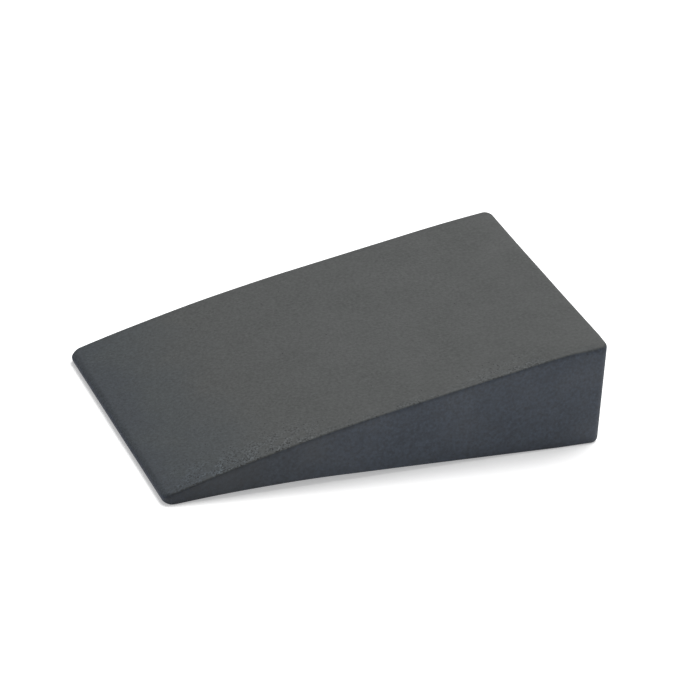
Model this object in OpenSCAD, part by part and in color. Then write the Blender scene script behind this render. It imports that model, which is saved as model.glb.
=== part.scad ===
// Door stop: a wedge moulded in one piece from solid rubber.
// X runs from the thin nose to the thick heel, Y across the wedge and Z up.
// The origin lies on the floor, under the middle of the wedge. Sizes are in millimetres.

/* [Wedge] */
// Overall length, from the nose to the heel
wedge_l = 100; // [80:1:130]
// Overall width, measured across the top of the heel
wedge_w = 66; // [50:1:90]
// Overall height, at the heel
wedge_h = 24.5; // [20:0.5:32]
// Degrees by which each side leans inward, from the ramp down to the floor
side_draft = 0.5; // [0.25:0.25:3]

/* [Ramp] */
// Degrees by which the ramp's straight part is flatter than a line from nose to heel
ramp_flatter = 1.3; // [0.8:0.1:1.8]
// Degrees by which the ramp is steeper than that line where it meets the nose
ramp_steeper = 5.4; // [4.5:0.1:7]
// Length of the crown, where the ramp curves down a little towards the heel
crown_l = 20; // [15:1:25]
// Degrees by which the ramp at the heel is flatter than its straight part
crown_flatter = 3; // [1:0.5:4]

/* [Edges] */
// Radius of the full round along the nose, which is half its thickness
nose_r = 1.3; // [1:0.1:2]
// Radius of the nose's two corners, seen from above
nose_corner_r = 2; // [1.5:0.25:5]
// Radius of the heel's two upright edges
heel_corner_r = 2; // [0.5:0.25:3]
// Radius along the top edge of the heel
heel_top_r = 1.1; // [0.5:0.1:3]
// Radius along the bottom edge of the heel
heel_base_r = 1; // [0.5:0.1:2]

/* [Underside] */
// Length of the flat strip that the heel stands on
heel_land = 10; // [6:0.5:15]
// Distance from the nose to where the underside leaves the floor
nose_land = 3; // [2.5:0.25:6]
// Slope of the underside where it rises behind the nose, in degrees
arch_front_slope = 4.7; // [3:0.1:6]
// Slope of the underside where it falls to the heel, in degrees
arch_back_slope = 1.4; // [0.5:0.1:2.5]

/* [Grip grooves] */
// Width of each groove, which has round ends
groove_w = 2; // [1:0.25:3]
// Depth of each groove
groove_depth = 1; // [0.5:0.1:1.5]
// Distance from one groove to the next
groove_pitch = 6; // [5:0.5:12]
// Distance from the nose to the first groove
groove_start = 16; // [14:1:24]
// Distance from each side of the wedge to the grooves' ends
groove_margin = 7; // [4:0.5:12]

/* [Hidden] */

// Charcoal
rubber_colour = [0.35, 0.36, 0.36];
// Facets in a drawn circle
$fn = 72;
// Degrees turned by each flat of a small round in the side profile
round_step = 10;
// Number of flats along each long curve of the side profile
curve_flats = 24;
// How far the cutting shapes run past the wedge
overrun = 10;

// Slopes of the ramp, from the line that joins the top of the nose to the top of the heel
chord_slope = atan2(wedge_h - 2 * nose_r, wedge_l - nose_r);
ramp_slope = chord_slope - ramp_flatter;
nose_slope = chord_slope + ramp_steeper;
crown_slope = ramp_slope - crown_flatter;

// Where the ramp leaves the round of the nose
nose_centre = [nose_r, nose_r];
ramp_start = nose_centre + nose_r * up_normal(nose_slope);
// The crown runs from the ramp's straight part to the round along the heel's top edge
heel_top_centre = [wedge_l - heel_top_r, wedge_h - heel_top_r];
crown_r = crown_l / (sin(ramp_slope) - sin(crown_slope));
crown_centre = heel_top_centre - (crown_r - heel_top_r) * up_normal(crown_slope);
crown_start = crown_centre + crown_r * up_normal(ramp_slope);
// Where the arched underside leaves the floor and comes back to it, falling at its end
arch_start = [nose_land, 0];
arch_end = [wedge_l - heel_land, 0];
arch_end_slope = -arch_back_slope;
arch_r = bend_radius(arch_start, arch_front_slope, arch_end, arch_end_slope);
arch_centre = arch_start - arch_r * up_normal(arch_front_slope);
arch_curve_end = arch_centre + arch_r * up_normal(arch_end_slope);

// Number of grooves after the first, and their length
groove_last = floor((wedge_l - heel_land - groove_start - groove_w) / groove_pitch);
groove_l = wedge_w - 2 * (wedge_h * tan(side_draft) + groove_margin);

// Unit vector square to a line of the given slope, pointing up
function up_normal(slope) = [-sin(slope), cos(slope)];

// Where a line through p, of slope a, crosses a line through q, of slope b
function crossing(p, a, q, b) =
    let (x = (q[1] - p[1] + p[0] * tan(a) - q[0] * tan(b)) / (tan(a) - tan(b)))
    [x, p[1] + (x - p[0]) * tan(a)];

// Radius of the arc that starts at p with slope a and ends on the line through q of slope b
function bend_radius(p, a, q, b) = norm(crossing(p, a, q, b) - p) / tan((a - b) / 2);

// Points of an arc, both ends included
function arc(centre, r, from, to, flats) =
    [for (i = [0:flats]) let (t = from + (to - from) * i / flats) centre + r * [cos(t), sin(t)]];

// Points of an arc of small radius, with a flat for each step that it turns
function small_arc(centre, r, from, to) = arc(centre, r, from, to, ceil(abs(to - from) / round_step));

// Points of the arc that bend_radius describes
function bend(p, a, q, b) =
    let (r = bend_radius(p, a, q, b))
    arc(p - r * up_normal(a), r, 90 + a, 90 + b, curve_flats);

// Height of the underside above the floor, between the two lands
function arch_z(x) = x < arch_curve_end[0]
    ? arch_centre[1] + sqrt(arch_r ^ 2 - (x - arch_centre[0]) ^ 2)
    : (x - arch_end[0]) * tan(arch_end_slope);

// The wedge seen from its side: nose, ramp, heel, then the underside back to the nose
module side_profile() {
    base_centre = [wedge_l - heel_base_r, heel_base_r];
    nose = small_arc(nose_centre, nose_r, 270, 90 + nose_slope);
    ramp = bend(ramp_start, nose_slope, crown_start, ramp_slope);
    crown = arc(crown_centre, crown_r, 90 + ramp_slope, 90 + crown_slope, curve_flats);
    heel_top = small_arc(heel_top_centre, heel_top_r, 90 + crown_slope, 0);
    heel_base = small_arc(base_centre, heel_base_r, 0, -90);
    arch = bend(arch_start, arch_front_slope, arch_end, arch_end_slope);
    underside = [for (i = [len(arch) - 1:-1:0]) arch[i]];
    polygon(concat(nose, ramp, crown, heel_top, heel_base, [arch_end], underside));
}

// The wedge seen from above, with one side along X, its corners rounded, and the other left long
module plan_half() {
    difference() {
        square([wedge_l, wedge_w + overrun]);
        corner(nose_corner_r);
        translate([wedge_l, 0])
            mirror([1, 0])
                corner(heel_corner_r);
    }
}

// The sliver that is cut away to round a square corner at the origin
module corner(r) {
    difference() {
        translate([-r, -r])
            square(2 * r);
        translate([r, r])
            circle(r);
    }
}

// Everything inward of one side wall, which leans about the level of the heel's top edge
module drafted_side() {
    translate([0, -wedge_w / 2, wedge_h])
        rotate([side_draft, 0, 0])
            translate([0, 0, -wedge_h - overrun])
                linear_extrude(wedge_h + 2 * overrun)
                    plan_half();
}

// One groove, cut up into the underside at a distance x from the nose
module groove(x) {
    straight = groove_l - groove_w;
    translate([x, 0, -overrun])
        linear_extrude(overrun + arch_z(x) + groove_depth) {
            square([groove_w, straight], center = true);
            for (side = [-1, 1])
                translate([0, side * straight / 2])
                    circle(d = groove_w);
        }
}

module wedge() {
    color(rubber_colour)
        translate([-wedge_l / 2, 0, 0])
            difference() {
                intersection() {
                    translate([0, wedge_w, 0])
                        rotate([90, 0, 0])
                            linear_extrude(2 * wedge_w)
                                side_profile();
                    drafted_side();
                    mirror([0, 1, 0])
                        drafted_side();
                }
                for (i = [0:groove_last])
                    groove(groove_start + i * groove_pitch);
            }
}

wedge();
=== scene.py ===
"""The looks of a moulded rubber door wedge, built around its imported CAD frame.

The wedge is worked out in millimetres from the nose, as in the CAD: x runs back to the heel,
y across from the middle plane and z up from the floor. It is put in place in metres at the end.
"""

import math

import bpy
import numpy as np
from mathutils import Matrix, Vector, noise


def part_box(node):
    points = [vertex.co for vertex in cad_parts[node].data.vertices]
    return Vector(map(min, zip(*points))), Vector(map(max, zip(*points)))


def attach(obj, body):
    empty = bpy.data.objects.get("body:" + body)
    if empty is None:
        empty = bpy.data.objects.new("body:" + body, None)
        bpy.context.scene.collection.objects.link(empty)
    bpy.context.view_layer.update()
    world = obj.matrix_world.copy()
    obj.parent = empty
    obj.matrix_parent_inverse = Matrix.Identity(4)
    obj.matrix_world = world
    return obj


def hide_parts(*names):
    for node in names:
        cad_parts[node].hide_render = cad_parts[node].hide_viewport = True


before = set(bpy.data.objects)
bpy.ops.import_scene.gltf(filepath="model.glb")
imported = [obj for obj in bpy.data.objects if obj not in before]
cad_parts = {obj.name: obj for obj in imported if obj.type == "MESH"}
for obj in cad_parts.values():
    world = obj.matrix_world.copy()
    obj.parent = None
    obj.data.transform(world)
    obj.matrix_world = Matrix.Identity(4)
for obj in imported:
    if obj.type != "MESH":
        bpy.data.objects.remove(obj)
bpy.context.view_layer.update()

MM = 0.001

# Overall size, from the frame
wedge_low, wedge_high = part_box("wedge")
LENGTH, WIDTH, HEIGHT = (wedge_high - wedge_low) / MM

# Slopes: those of the ramp are set against the line from the top of the nose to the heel
SIDE_DRAFT = math.radians(0.5)
RAMP_FLATTER = math.radians(1.3)
RAMP_STEEPER = math.radians(5.4)
ARCH_FRONT_SLOPE = math.radians(4.7)
ARCH_BACK_SLOPE = math.radians(-1.4)

# The ramp's last stretch, which curves down a little towards the heel
CROWN_FLATTER = math.radians(3.0)
CROWN_LENGTH = 20.0

# Radii of the edges
NOSE_R = 1.3
NOSE_CORNER_R = 2.0
HEEL_CORNER_R = 2.0
HEEL_TOP_R = 1.1
HEEL_BASE_R = 1.0
SIDE_EDGE_R = 0.6

# Flat strips of the underside, at the nose and at the heel
NOSE_LAND = 3.0
HEEL_LAND = 10.0

# Grip grooves, whose walls lean a little so that they leave the mould
GROOVE_W = 2.0
GROOVE_DEPTH = 1.0
GROOVE_PITCH = 6.0
GROOVE_START = 16.0
GROOVE_MARGIN = 7.0
GROOVE_WALL = 0.35

# How far the ramp sinks in the middle of the heel, and how uneven the moulding is
HEEL_SINK = 0.2
UNEVEN = 0.04
UNEVEN_SIZE = 14.0

# Mesh: distance between its lines, steps in a quarter round, rows up the heel, lines across a
# groove's wall, and the gap under which two lines are one
GRID_GAP = 1.2
ROUND_STEPS = 9
HEEL_ROWS = 14
WALL_LINES = 5
SAME_LINE = 0.003

# Length over which the mesh closes up behind a rounded corner, and in which a worn one sinks
CORNER_BLEND = 9.0

# Wear of the heel's front corner: how much lower it lies for each millimetre that it is set back,
# how far it sinks softly over what distance from the side, and how late it sets in
CORNER_DROP = 0.45
SOFT_DROP = 0.3
SOFT_REACH = 6.0
WEAR_LATENESS = 3

# Rubber: its tone between two charcoals
RUBBER_DARK = (0.0434, 0.0461, 0.0461, 1)
RUBBER_LIGHT = (0.0635, 0.0671, 0.0651, 1)

# Rubber: its roughness, which follows the mottling between two levels, with a little of the grain
ROUGHNESS = (0.62, 0.78)
ROUGHNESS_MOTTLE = (0.4, 0.9)
ROUGHNESS_GRAIN = 0.4

# Rubber: painted shade and light. The walls are painted darker and cooler than the ramp, as painted
# shade and painted cool light, and the nose is painted darker and cooler as painted shade, most of all
# at its tip. The sides get painted shade, darker and less blue, towards the nose, and everything gets
# painted shade just above the floor. Each of the last four tints fades in between two distances, from
# the nose or the floor.
WALL_SHADE_TINT = (0.575, 0.695, 0.975, 1)
NOSE_SHADE_TINT = (0.78, 0.86, 0.935, 1)
NOSE_SHADE_FROM = 28.0
NOSE_SHADE_TO = 8.0
TIP_SHADE_TINT = (0.80, 0.83, 0.92, 1)
TIP_SHADE_FROM = 12.0
TIP_SHADE_TO = 1.0
SIDE_SHADE_TINT = (0.72, 0.66, 0.57, 1)
SIDE_SHADE_FROM = 50.0
SIDE_SHADE_TO = 8.0
LOW_SHADE_TINT = (0.80, 0.80, 0.80, 1)
LOW_SHADE_FROM = 2.0
LOW_SHADE_TO = 0.3

# Rubber: a face turns into ramp, or into side, as its normal's share of up, or of sideways, goes
# from the first of these to the second
FACING = (0.3, 0.8)

# Rubber: sizes of its mottling, clouding, grain and pebbling
MOTTLE_SIZE = 11.0
CLOUD_SIZE = 2.4
GRAIN_SIZE = 0.65
PITS_AND_HIGHLIGHT_GRAIN_SIZE = 0.42
PEBBLE_SIZE = 0.55

# Rubber: the mottling's share of the tone, the rest being clouding, and how far it moves the
# painted shade of the nose back and forth
MOTTLE_SHARE = 0.6
NOSE_WANDER = 24.0

# Rubber: relief of the surface, then what the grain, the pebbles and a pit each take of it
RELIEF = 0.05
GRAIN_HEIGHT = 0.6
PEBBLE_HEIGHT = 0.5
PIT_HEIGHT = -1.5

# Rubber: contrast of the grain on the ramp, on the walls, and what the pitted strip under the painted
# highlight adds to it
RAMP_GRAIN = 1.0
WALL_GRAIN = 1.4
PITS_AND_HIGHLIGHT_GRAIN = 5.0

# Rubber: pitted patches beside the ramp's front edge, lighter there with a painted highlight, each
# with its distance from the nose, half its length, how far it reaches up the ramp, and its strength. A
# patch fades faster down the edge than up the ramp, by a factor. The patches, like the painted shade
# of the edge line further down, come and go between two levels of the clouding.
PITS_AND_HIGHLIGHT_PATCHES = [(19.0, 17.0, 6.5, 1.0), (52.0, 13.0, 2.5, 0.45), (77.0, 10.0, 4.5, 0.6)]
PITS_AND_HIGHLIGHT_FADE_BELOW = 2
# painted highlight: the lighter, cooler tint of the pitted patches
PAINTED_HIGHLIGHT_TINT = (1.05, 1.08, 1.13, 1)
PITS_AND_HIGHLIGHT_CLOUDS = (0.35, 0.55)

# Rubber: small pits, with the distance from one to the next, their rim and floor as shares of
# it, and how many of the places for a pit have one, on the whole ramp and in the pitted strip under the
# painted highlight
# The pits' dark colour is painted shade in their hollows
PIT_SHADE_COLOUR = (0.018, 0.019, 0.021, 1)
PIT_GAP = 0.56
PIT_RIM = 0.36
PIT_FLOOR = 0.14
PITS_ON_RAMP = 0.002
PITS_IN_HIGHLIGHT_STRIP = 0.75

# Rubber: painted shade as a dark line just under the ramp's side edges, with its depth and half its
# breadth
EDGE_SHADE_TINT = (0.66, 0.70, 0.74, 1)
EDGE_SHADE_DEPTH = 0.6
EDGE_SHADE_HALF = 0.5
EDGE_SHADE_CLOUDS = (0.3, 0.6)

# Floor and light, in metres. The floor glows softly, as a light table does, so that the shadow
# stays pale. The key's azimuth is seen from above, from +X to +Y.
FLOOR_SIZE = 8.0
FLOOR_DARK = (0.89, 0.89, 0.89, 1)
FLOOR_LIGHT = (0.91, 0.91, 0.91, 1)
FLOOR_MOTTLE = 0.4
FLOOR_ROUGHNESS = 0.9
FLOOR_SHINE = 0.1
FLOOR_GLOW = 0.4
WORLD_COLOUR = (1.0, 1.0, 1.0, 1)
WORLD_STRENGTH = 0.3
KEY_AZIMUTH = math.radians(35)
KEY_ELEVATION = math.radians(65)
KEY_DISTANCE = 3.0
KEY_SIZE = 2.2
KEY_WATTS = 105.0

# Camera, in metres: it looks at a point inside the wedge, from well away with a long lens, and
# leaves out only what is very near to it. Its azimuth is seen from above, from -Y to +X.
CAMERA_AZIMUTH = math.radians(-22.91)
CAMERA_ELEVATION = math.radians(28.64)
CAMERA_ROLL = math.radians(3.74)
CAMERA_DISTANCE = 0.823
CAMERA_LENS = 193.23
CAMERA_AIM = Vector((0.00412, 0.0013, 0.01142))
CAMERA_NEAR = 0.05


# ---------------------------------------------------------------- shape of the wedge


def along_bend(p, p_slope, q, q_slope):
    """Height function of an arc that starts at p, then runs on as the straight line through q."""
    tan_p, tan_q = math.tan(p_slope), math.tan(q_slope)
    meet_x = (q[1] - p[1] + p[0] * tan_p - q[0] * tan_q) / (tan_p - tan_q)
    radius = (meet_x - p[0]) / math.cos(p_slope) / math.tan((p_slope - q_slope) / 2)
    centre_x = p[0] + radius * math.sin(p_slope)
    centre_z = p[1] - radius * math.cos(p_slope)
    arc_end = centre_x - radius * math.sin(q_slope)

    def height(x):
        arc = centre_z + np.sqrt(radius**2 - (np.minimum(x, arc_end) - centre_x) ** 2)
        return np.where(x < arc_end, arc, q[1] + (x - q[0]) * tan_q)

    return height


chord_slope = math.atan2(HEIGHT - 2 * NOSE_R, LENGTH - NOSE_R)
ramp_slope = chord_slope - RAMP_FLATTER
nose_slope = chord_slope + RAMP_STEEPER
nose_top = (NOSE_R * (1 - math.sin(nose_slope)), NOSE_R * (1 + math.cos(nose_slope)))
# The crown ends where the round along the heel's top edge begins
crown_slope = ramp_slope - CROWN_FLATTER
crown_r = CROWN_LENGTH / (math.sin(ramp_slope) - math.sin(crown_slope))
crown_x = LENGTH - HEEL_TOP_R + (crown_r - HEEL_TOP_R) * math.sin(crown_slope)
crown_z = HEIGHT - HEEL_TOP_R - (crown_r - HEEL_TOP_R) * math.cos(crown_slope)
crown_start = (crown_x - crown_r * math.sin(ramp_slope), crown_z + crown_r * math.cos(ramp_slope))
front_z = along_bend(nose_top, nose_slope, crown_start, ramp_slope)
arch_z = along_bend((NOSE_LAND, 0), ARCH_FRONT_SLOPE, (LENGTH - HEEL_LAND, 0), ARCH_BACK_SLOPE)

base_half_width = WIDTH / 2 - HEIGHT * math.tan(SIDE_DRAFT)
groove_half_length = base_half_width - GROOVE_MARGIN
groove_places = np.arange(GROOVE_START, LENGTH - HEEL_LAND - GROOVE_W / 2, GROOVE_PITCH)


def ramp_z(x):
    """Height of the ramp."""
    crown = crown_z + np.sqrt(crown_r**2 - (np.maximum(x, crown_start[0]) - crown_x) ** 2)
    return np.where(x < crown_start[0], front_z(x), crown)


def base_z(x):
    """Height of the underside without its grooves: flat at nose and heel, arched between."""
    return np.where(x < NOSE_LAND, 0, np.maximum(arch_z(x), 0))


def smooth(t):
    """Eases from 0 to 1, with level ends, as t goes from 0 to 1."""
    t = np.clip(t, 0, 1)
    return t * t * (3 - 2 * t)


def groove_cut(x, y):
    """How far the grooves cut up into the underside at x, y."""
    off_x = np.abs(x[:, None] - groove_places).min(axis=1)
    off_y = max(abs(y) - (groove_half_length - GROOVE_W / 2), 0)
    inside = GROOVE_W / 2 - np.hypot(off_x, off_y)
    return GROOVE_DEPTH * smooth(inside / GROOVE_WALL)


def corner_inset(gap, radius):
    """How far a rounded corner lies behind a square one, at this distance in from the side."""
    return radius * (1 - np.sqrt(1 - np.clip(1 - gap / radius, 0, 1) ** 2))


def round_gaps(radius, steps):
    """Distances in from the side that cut a round of this radius into equal turns."""
    return radius * (1 - np.cos(np.linspace(0, math.pi / 2, steps + 1)))


def thinned(values, gap):
    """The values in order, without those closer than gap to the one before."""
    kept = []
    for v in sorted(values):
        if not kept or v - kept[-1] > gap:
            kept.append(v)
    return kept


def stations():
    """Distances from the nose at which a line of the mesh crosses the ramp and the underside."""
    wall = np.linspace(GROOVE_W / 2 - GROOVE_WALL, GROOVE_W / 2, WALL_LINES)
    across = np.concatenate([-wall, [0], wall])
    grooves = (groove_places[:, None] + across).ravel()
    plain = np.arange(NOSE_R + GRID_GAP / 2, LENGTH - 2 * HEEL_TOP_R, GRID_GAP)
    plain = [x for x in plain if np.abs(x - grooves).min() > GRID_GAP / 4]
    beyond_nose = sorted([*grooves, *plain])
    return np.concatenate([round_gaps(NOSE_R, ROUND_STEPS), beyond_nose])


def side_gaps():
    """Distances in from one side, up to the middle, at which a line runs along the wedge."""
    groove_end = WIDTH / 2 * (1 - groove_half_length / base_half_width)
    parts = [
        round_gaps(SIDE_EDGE_R, ROUND_STEPS),
        [g for g in round_gaps(NOSE_CORNER_R, 2 * ROUND_STEPS) if g > SIDE_EDGE_R],
        np.arange(NOSE_CORNER_R + GRID_GAP, groove_end - GRID_GAP / 2, GRID_GAP),
        groove_end + round_gaps(GROOVE_W / 2 + GROOVE_WALL, ROUND_STEPS),
        np.arange(groove_end + GROOVE_W, WIDTH / 2 - GRID_GAP, GRID_GAP),
        [WIDTH / 2],
    ]
    return thinned(np.concatenate(parts), SAME_LINE)


def outline(gap, station, front):
    """The wedge cut along its length at this distance in from a side, before its grooves.

    Gives x and z of three runs: the ramp from the nose, the heel from top to bottom, and the
    underside from the nose. Only the front side has the worn heel corner.
    """
    nose_in = corner_inset(gap, NOSE_CORNER_R)
    heel_in = corner_inset(gap, HEEL_CORNER_R)
    edge_in = corner_inset(gap, SIDE_EDGE_R)

    near_nose = np.clip(1 - (station - NOSE_R) / CORNER_BLEND, 0, 1)
    near_heel = smooth(1 - (LENGTH - station) / CORNER_BLEND)
    near_last = smooth(1 - (station[-1] - station) / CORNER_BLEND)
    x = station + nose_in * near_nose - heel_in * near_heel
    wear = CORNER_DROP * heel_in + SOFT_DROP * smooth(1 - gap / SOFT_REACH) if front else 0
    drop = edge_in + wear * near_last**WEAR_LATENESS

    nose_x = nose_in + NOSE_R
    nose_z = (ramp_z(nose_x) + base_z(nose_x)) / 2
    open_up = np.sqrt(1 - np.clip(1 - station / NOSE_R, 0, 1) ** 2)
    ramp = nose_z + (ramp_z(x) - drop - nose_z) * open_up
    under = nose_z + (base_z(x) + edge_in - nose_z) * open_up

    heel_x = LENGTH - heel_in
    top_turn = np.linspace(math.pi / 2 + crown_slope, 0, ROUND_STEPS + 1)
    top_x = heel_x + HEEL_TOP_R * (np.cos(top_turn) - 1)
    top_drop = edge_in + heel_in * math.tan(crown_slope) + wear
    top_z = HEIGHT - top_drop + HEEL_TOP_R * (np.sin(top_turn) - 1)
    low_turn = np.linspace(0, math.pi / 2, ROUND_STEPS + 1)
    low_x = heel_x + HEEL_BASE_R * (np.cos(low_turn) - 1)
    low_z = edge_in + HEEL_BASE_R * (1 - np.sin(low_turn))
    face_z = np.linspace(top_z[-1], low_z[0], HEEL_ROWS + 1)[1:-1]
    heel_xs = np.concatenate([top_x, np.full(len(face_z), heel_x), low_x])
    heel_zs = np.concatenate([top_z, face_z, low_z])
    return (x, ramp), (heel_xs, heel_zs), (x, under)


def wedge_points(station, across):
    """Rings of points round the wedge's length, one ring for each place across it."""
    rings = []
    for y in across:
        (x, ramp), (heel_x, heel_z), (_, under) = outline(WIDTH / 2 - abs(y), station, y < 0)
        under = under + groove_cut(x, y * base_half_width / (WIDTH / 2))
        ring_x = np.concatenate([x, heel_x, x[:0:-1]])
        ring_z = np.concatenate([ramp, heel_z, under[:0:-1]])
        rings.append(np.stack([ring_x, np.full(len(ring_x), y), ring_z], axis=1))
    return np.array(rings)


def side_wall(ring, n_stations, n_heel):
    """Grid of points that fills one side: a column at each station and one down the heel.

    The points of every column are spaced like those down the heel, whatever its height.
    """
    ramp = ring[1:n_stations]
    heel = ring[n_stations : n_stations + n_heel]
    under = ring[: n_stations + n_heel - 1 : -1]
    way_down = np.cumsum(np.hypot(*np.diff(heel[:, [0, 2]], axis=0).T))
    level = 1 - np.concatenate([[0], way_down / way_down[-1]])
    return under[:, None] + level[None, :, None] * (ramp - under)[:, None]


def grid_faces(index):
    """Quads between neighbouring rows and columns of an array of point numbers."""
    a, b, c, d = index[:-1, :-1], index[1:, :-1], index[1:, 1:], index[:-1, 1:]
    return np.stack([a, b, c, d], axis=-1).reshape(-1, 4).tolist()


def wedge_mesh():
    """Points, in millimetres, and faces of the closed wedge."""
    station = stations()
    gaps = np.array(side_gaps())
    half = WIDTH / 2 - gaps
    across = np.concatenate([-half, half[-2::-1]])
    rings = wedge_points(station, across)
    n_across, n_ring = rings.shape[:2]
    n_stations = len(station)
    n_heel = n_ring - 2 * n_stations + 1
    points = [rings.reshape(-1, 3)]
    number = np.arange(n_across * n_ring).reshape(n_across, n_ring)
    faces = grid_faces(np.concatenate([number, number[:, :1]], axis=1)[::-1])

    total = number.size
    for ring_at, flip in ((0, False), (n_across - 1, True)):
        ids = number[ring_at]
        grid = side_wall(rings[ring_at], n_stations, n_heel)[:, 1:-1]
        inner = total + np.arange(grid.shape[0] * grid.shape[1]).reshape(grid.shape[:2])
        total += inner.size
        points.append(grid.reshape(-1, 3))
        ramp, under = ids[1:n_stations], ids[: n_stations + n_heel - 1 : -1]
        body = np.concatenate([ramp[:, None], inner, under[:, None]], axis=1)
        wall = np.concatenate([body, ids[None, n_stations : n_stations + n_heel]])
        tip = [[ids[0], a, b] for a, b in zip(wall[0, 1:], wall[0, :-1])]
        side = tip + grid_faces(wall[:, ::-1])
        faces += [f[::-1] for f in side] if flip else side
    return np.concatenate(points), faces


def new_object(name, points, faces, material):
    """Smoothly shaded object with this mesh and material."""
    mesh = bpy.data.meshes.new(name)
    mesh.from_pydata([tuple(p) for p in points], [], faces)
    mesh.polygons.foreach_set("use_smooth", [True] * len(faces))
    mesh.materials.append(material)
    obj = bpy.data.objects.new(name, mesh)
    bpy.context.scene.collection.objects.link(obj)
    return obj


def lean_and_sink(points):
    """Leans the sides in towards the floor, and lets the middle of the ramp sink at the heel."""
    x, y, z = points.T
    lean = (HEIGHT - z) * math.tan(SIDE_DRAFT) / (WIDTH / 2)
    sink = HEEL_SINK * (z / HEIGHT) ** 2 * (1 - (y / (WIDTH / 2)) ** 2)
    return np.stack([x, y * (1 - lean), z - sink], axis=1)


def roughen(obj):
    """Moves the surface in and out a little, but not where it stands on the floor."""
    mesh = obj.data
    moved = []
    for vertex in mesh.vertices:
        place = vertex.co / MM
        off_floor = min(place.z / NOSE_R, 1) ** 2
        push = UNEVEN * off_floor * noise.noise(place / UNEVEN_SIZE)
        moved.append(vertex.co + vertex.normal * push * MM)
    for vertex, co in zip(mesh.vertices, moved):
        vertex.co = co


def pits_and_highlight_at(x, off_edge):
    """How strong the pitted strip with its painted highlight is at this distance from the nose and this
    far in from its front edge.

    The fourth power keeps a patch even along its length, with short ends.
    """
    return sum(
        strength * math.exp(-(((x - middle) / half) ** 4) - (off_edge / reach) ** 2)
        for middle, half, reach, strength in PITS_AND_HIGHLIGHT_PATCHES
    )


def mark_highlight_pits_and_shade(obj):
    """Stores at each point, for the material, how strong the pitted strip with its painted highlight is
    there, and how near it is to the painted shade of an edge line.
    """
    mesh = obj.data
    pits_and_highlight = mesh.attributes.new("pits_and_highlight", "FLOAT", "POINT")
    edge = mesh.attributes.new("edge", "FLOAT", "POINT")
    for vertex, pits_and_highlight_value, edge_value in zip(mesh.vertices, pits_and_highlight.data, edge.data):
        x, y, z = vertex.co / MM
        x += LENGTH / 2
        below = max(float(ramp_z(max(x, NOSE_R))) - z, 0)
        pits_and_highlight_value.value = pits_and_highlight_at(x, y + WIDTH / 2 + PITS_AND_HIGHLIGHT_FADE_BELOW * below)
        if abs(y) > WIDTH / 2 - NOSE_CORNER_R and NOSE_CORNER_R < x < LENGTH - HEEL_CORNER_R:
            # painted shade of the dark line under the ramp's side edges
            edge_value.value = math.exp(-(((below - EDGE_SHADE_DEPTH) / EDGE_SHADE_HALF) ** 2))


def make_wedge():
    """The rubber body, in place of the CAD's one node."""
    points, faces = wedge_mesh()
    points = (lean_and_sink(points) - (LENGTH / 2, 0, 0)) * MM
    obj = new_object("wedge_body", points, faces, rubber_material())
    mark_highlight_pits_and_shade(obj)
    roughen(obj)
    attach(obj, "root")
    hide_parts("wedge")


# ---------------------------------------------------------------- materials


class Nodes:
    """Short calls for building one material's node tree."""

    def __init__(self, material):
        material.use_nodes = True
        self.tree = material.node_tree
        self.shader = self.tree.nodes["Principled BSDF"]

    def add(self, kind, values=None, **settings):
        """A node of this kind, with its settings made and its sockets set or linked."""
        node = self.tree.nodes.new(kind)
        for name, value in settings.items():
            setattr(node, name, value)
        for socket, value in (values or {}).items():
            if isinstance(value, bpy.types.NodeSocket):
                self.tree.links.new(value, node.inputs[socket])
            else:
                node.inputs[socket].default_value = value
        return node

    def link(self, output, socket):
        """Links an output to a socket of the shader."""
        self.tree.links.new(output, self.shader.inputs[socket])

    def math(self, operation, a, b, c=0.0):
        """One step of arithmetic; the kinds that take fewer values leave the rest unused."""
        return self.add("ShaderNodeMath", {0: a, 1: b, 2: c}, operation=operation).outputs[0]

    def scale(self, vector, by):
        """A vector or colour multiplied by a number."""
        return self.add("ShaderNodeVectorMath", {0: vector, "Scale": by}, operation="SCALE").outputs[0]

    def ramp(self, value, low, high, to_low=0.0, to_high=1.0):
        """Eases from to_low to to_high as the value goes from low to high."""
        values = {"Value": value, "From Min": low, "From Max": high, "To Min": to_low, "To Max": to_high}
        return self.add("ShaderNodeMapRange", values, interpolation_type="SMOOTHSTEP").outputs["Result"]

    def split(self, vector):
        """X, Y and Z of a vector."""
        return self.add("ShaderNodeSeparateXYZ", {0: vector}).outputs

    def stored(self, name):
        """The value stored under this name at each point of the mesh."""
        return self.add("ShaderNodeAttribute", attribute_name=name).outputs["Fac"]

    def noise(self, place, size, detail):
        """Soft noise whose lumps are about this far across, in the units of place."""
        values = {"Vector": place, "Scale": 1 / size, "Detail": detail}
        return self.add("ShaderNodeTexNoise", values).outputs["Fac"]

    def cells(self, place, size, feature):
        """Cells about this far across, as distance from their middles and colour."""
        values = {"Vector": place, "Scale": 1 / size}
        return self.add("ShaderNodeTexVoronoi", values, feature=feature).outputs

    def mix(self, share, a, b, blend="MIX"):
        """Colour a with this share of colour b blended in."""
        values = {0: share, 6: a, 7: b}
        return self.add("ShaderNodeMix", values, data_type="RGBA", blend_type=blend).outputs[2]

    def around_zero(self, value):
        """Noise that varies about zero instead of about a half."""
        return self.math("SUBTRACT", value, 0.5)

    def tinted(self, colour, tint, share):
        """The colour multiplied by a tint, as far as the share says."""
        return self.mix(share, colour, tint, blend="MULTIPLY")


def rubber_pits(n, place, on_ramp, pits_and_highlight):
    """Where the pits are, from 0 outside them to 1 at their floors."""
    cells = n.cells(place, PIT_GAP, "F1")
    chance = n.add("ShaderNodeSeparateColor", {0: cells["Color"]}).outputs["Red"]
    wanted = n.math("MULTIPLY_ADD", pits_and_highlight, PITS_IN_HIGHLIGHT_STRIP, n.math("MULTIPLY", on_ramp, PITS_ON_RAMP))
    pitted = n.math("LESS_THAN", chance, wanted)
    return n.math("MULTIPLY", n.ramp(cells["Distance"], PIT_RIM, PIT_FLOOR), pitted)


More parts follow.
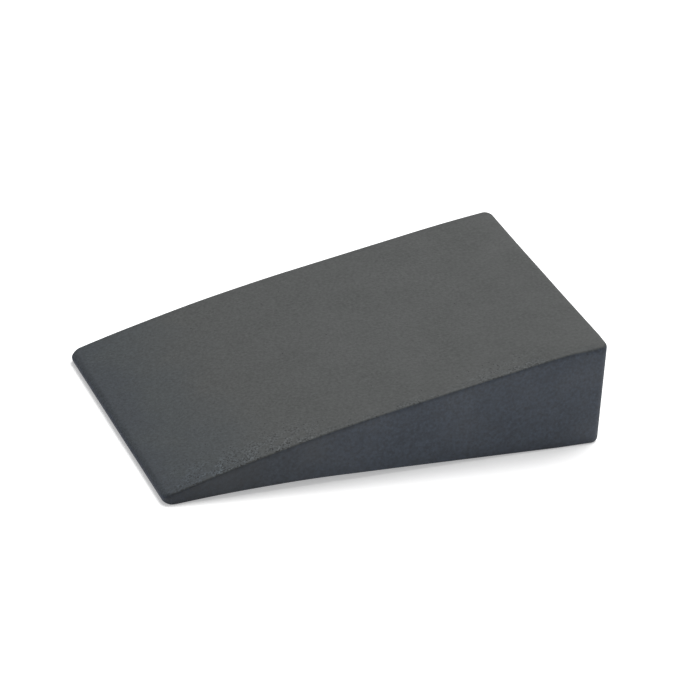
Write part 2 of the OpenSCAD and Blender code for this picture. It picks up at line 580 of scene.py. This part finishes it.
def rubber_painted_shade(n, colour, place, mottle, on_ramp, on_side):
    """The colour with painted shade on the walls, the nose, the sides and the foot, and painted cool
    light on the walls.
    """
    from_middle, _, from_floor = n.split(place)
    from_nose = n.math("ADD", from_middle, LENGTH / 2 - NOSE_WANDER / 2)
    from_nose = n.math("MULTIPLY_ADD", mottle, NOSE_WANDER, from_nose)
    # painted shade and painted cool light on the walls
    colour = n.tinted(colour, WALL_SHADE_TINT, n.math("SUBTRACT", 1.0, on_ramp))
    # painted shade on the nose, darker and cooler
    colour = n.tinted(colour, NOSE_SHADE_TINT, n.ramp(from_nose, NOSE_SHADE_FROM, NOSE_SHADE_TO))
    # painted shade on the rounded tip of the nose
    colour = n.tinted(colour, TIP_SHADE_TINT, n.ramp(from_nose, TIP_SHADE_FROM, TIP_SHADE_TO))
    # painted shade on the sides towards the nose, darker and less blue
    nose_side_shade = n.math("MULTIPLY", on_side, n.ramp(from_nose, SIDE_SHADE_FROM, SIDE_SHADE_TO))
    colour = n.tinted(colour, SIDE_SHADE_TINT, nose_side_shade)
    # painted shade just above the floor
    return n.tinted(colour, LOW_SHADE_TINT, n.ramp(from_floor, LOW_SHADE_FROM, LOW_SHADE_TO))


def rubber_speckle(n, place, grain, on_ramp, pits_and_highlight):
    """What the grain multiplies the colour by, which varies most in the pitted strip under the painted
    highlight.
    """
    contrast = n.math("MULTIPLY_ADD", on_ramp, RAMP_GRAIN - WALL_GRAIN, WALL_GRAIN)
    speckle = n.math("MULTIPLY_ADD", n.around_zero(grain), contrast, 1.0)
    strip_grain = n.around_zero(n.noise(place, PITS_AND_HIGHLIGHT_GRAIN_SIZE, detail=1.0))
    strip_contrast = n.math("MULTIPLY", pits_and_highlight, PITS_AND_HIGHLIGHT_GRAIN)
    return n.math("MULTIPLY_ADD", strip_grain, strip_contrast, speckle)


def rubber_bump(n, place, grain, pit):
    """Normal of the surface with its grain, pebbles and pits."""
    pebble = n.cells(place, PEBBLE_SIZE, "SMOOTH_F1")["Distance"]
    height = n.math("MULTIPLY_ADD", grain, GRAIN_HEIGHT, n.math("MULTIPLY", pebble, PEBBLE_HEIGHT))
    height = n.math("MULTIPLY_ADD", pit, PIT_HEIGHT, height)
    return n.add("ShaderNodeBump", {"Height": height, "Distance": RELIEF * MM}).outputs["Normal"]


def rubber_material():
    """Matt charcoal rubber with a fine pebble grain, soft mottling and small pits, and with painted
    shade, painted cool light and a painted highlight.
    """
    material = bpy.data.materials.new("charcoal_rubber")
    n = Nodes(material)
    coords = n.add("ShaderNodeTexCoord").outputs
    place = n.scale(coords["Object"], 1 / MM)
    _, facing_side, facing_up = n.split(coords["Normal"])
    on_ramp = n.ramp(facing_up, *FACING)
    on_side = n.ramp(n.math("ABSOLUTE", facing_side, 0.0), *FACING)
    mottle = n.noise(place, MOTTLE_SIZE, detail=4.0)
    cloud = n.noise(place, CLOUD_SIZE, detail=3.0)
    grain = n.noise(place, GRAIN_SIZE, detail=1.0)

    # pitted strip beside the front edge, whose lighter tint is a painted highlight
    pits_and_highlight = n.math("MULTIPLY", n.stored("pits_and_highlight"), on_ramp)
    pits_and_highlight = n.math("MULTIPLY", pits_and_highlight, n.ramp(cloud, *PITS_AND_HIGHLIGHT_CLOUDS))
    # painted shade along the ramp's side edges
    edge_shade = n.math("MULTIPLY", n.stored("edge"), n.ramp(cloud, *EDGE_SHADE_CLOUDS))
    pit = rubber_pits(n, place, on_ramp, pits_and_highlight)

    tone = n.math("MULTIPLY", cloud, 1 - MOTTLE_SHARE)
    tone = n.math("MULTIPLY_ADD", mottle, MOTTLE_SHARE, tone)
    colour = n.mix(tone, RUBBER_DARK, RUBBER_LIGHT)
    # painted shade and painted cool light
    colour = rubber_painted_shade(n, colour, place, mottle, on_ramp, on_side)
    # painted shade of the edge line
    colour = n.tinted(colour, EDGE_SHADE_TINT, edge_shade)
    # painted highlight on the pitted strip
    colour = n.tinted(colour, PAINTED_HIGHLIGHT_TINT, pits_and_highlight)
    colour = n.scale(colour, rubber_speckle(n, place, grain, on_ramp, pits_and_highlight))
    # painted shade in the pits
    n.link(n.mix(pit, colour, PIT_SHADE_COLOUR), "Base Color")

    unevenness = n.math("MULTIPLY_ADD", grain, ROUGHNESS_GRAIN, mottle)
    n.link(n.ramp(unevenness, *ROUGHNESS_MOTTLE, *ROUGHNESS), "Roughness")
    n.link(rubber_bump(n, place, grain, pit), "Normal")
    return material


def floor_material():
    """Smooth pale sheet, a little uneven in tone, that glows softly."""
    material = bpy.data.materials.new("pale_floor")
    n = Nodes(material)
    coords = n.add("ShaderNodeTexCoord").outputs["Object"]
    tone = n.noise(coords, FLOOR_MOTTLE, detail=3.0)
    n.link(n.mix(tone, FLOOR_DARK, FLOOR_LIGHT), "Base Color")
    n.shader.inputs["Emission Color"].default_value = FLOOR_LIGHT
    n.shader.inputs["Emission Strength"].default_value = FLOOR_GLOW
    n.shader.inputs["Roughness"].default_value = FLOOR_ROUGHNESS
    n.shader.inputs["Specular IOR Level"].default_value = FLOOR_SHINE
    return material


# ---------------------------------------------------------------- floor, light and camera


def make_floor():
    """A pale floor, so wide that its edge is out of sight."""
    half = FLOOR_SIZE / 2
    corners = [(-half, -half, 0), (half, -half, 0), (half, half, 0), (-half, half, 0)]
    floor = new_object("floor", corners, [(0, 1, 2, 3)], floor_material())


def make_lights():
    """One large soft key that points at the wedge, in the even light of the studio's walls."""
    world = bpy.data.worlds.new("studio")
    bpy.context.scene.world = world
    world.use_nodes = True
    background = world.node_tree.nodes["Background"]
    background.inputs["Color"].default_value = WORLD_COLOUR
    background.inputs["Strength"].default_value = WORLD_STRENGTH

    light = bpy.data.lights.new("key", "AREA")
    light.shape = "SQUARE"
    light.size = KEY_SIZE
    light.energy = KEY_WATTS
    key = bpy.data.objects.new("key", light)
    flat = math.cos(KEY_ELEVATION)
    towards = Vector(
        (
            math.cos(KEY_AZIMUTH) * flat,
            math.sin(KEY_AZIMUTH) * flat,
            math.sin(KEY_ELEVATION),
        )
    )
    key.location = towards * KEY_DISTANCE
    key.rotation_euler = towards.to_track_quat("Z", "Y").to_euler()
    bpy.context.scene.collection.objects.link(key)


def make_camera():
    """The camera turns about its aim by azimuth and elevation, then rolls about its own axis."""
    camera = bpy.data.cameras.new("camera")
    camera.lens = CAMERA_LENS
    camera.clip_start = CAMERA_NEAR
    obj = bpy.data.objects.new("camera", camera)
    flat = math.cos(CAMERA_ELEVATION)
    back = Vector(
        (
            math.sin(CAMERA_AZIMUTH) * flat,
            -math.cos(CAMERA_AZIMUTH) * flat,
            math.sin(CAMERA_ELEVATION),
        )
    )
    turn = back.to_track_quat("Z", "Y").to_matrix().to_4x4()
    place = Matrix.Translation(CAMERA_AIM + back * CAMERA_DISTANCE)
    obj.matrix_world = place @ turn @ Matrix.Rotation(CAMERA_ROLL, 4, "Z")
    bpy.context.scene.collection.objects.link(obj)
    bpy.context.scene.camera = obj


make_wedge()
make_floor()
make_lights()
make_camera()
bpy.context.scene.view_settings.view_transform = "Standard"
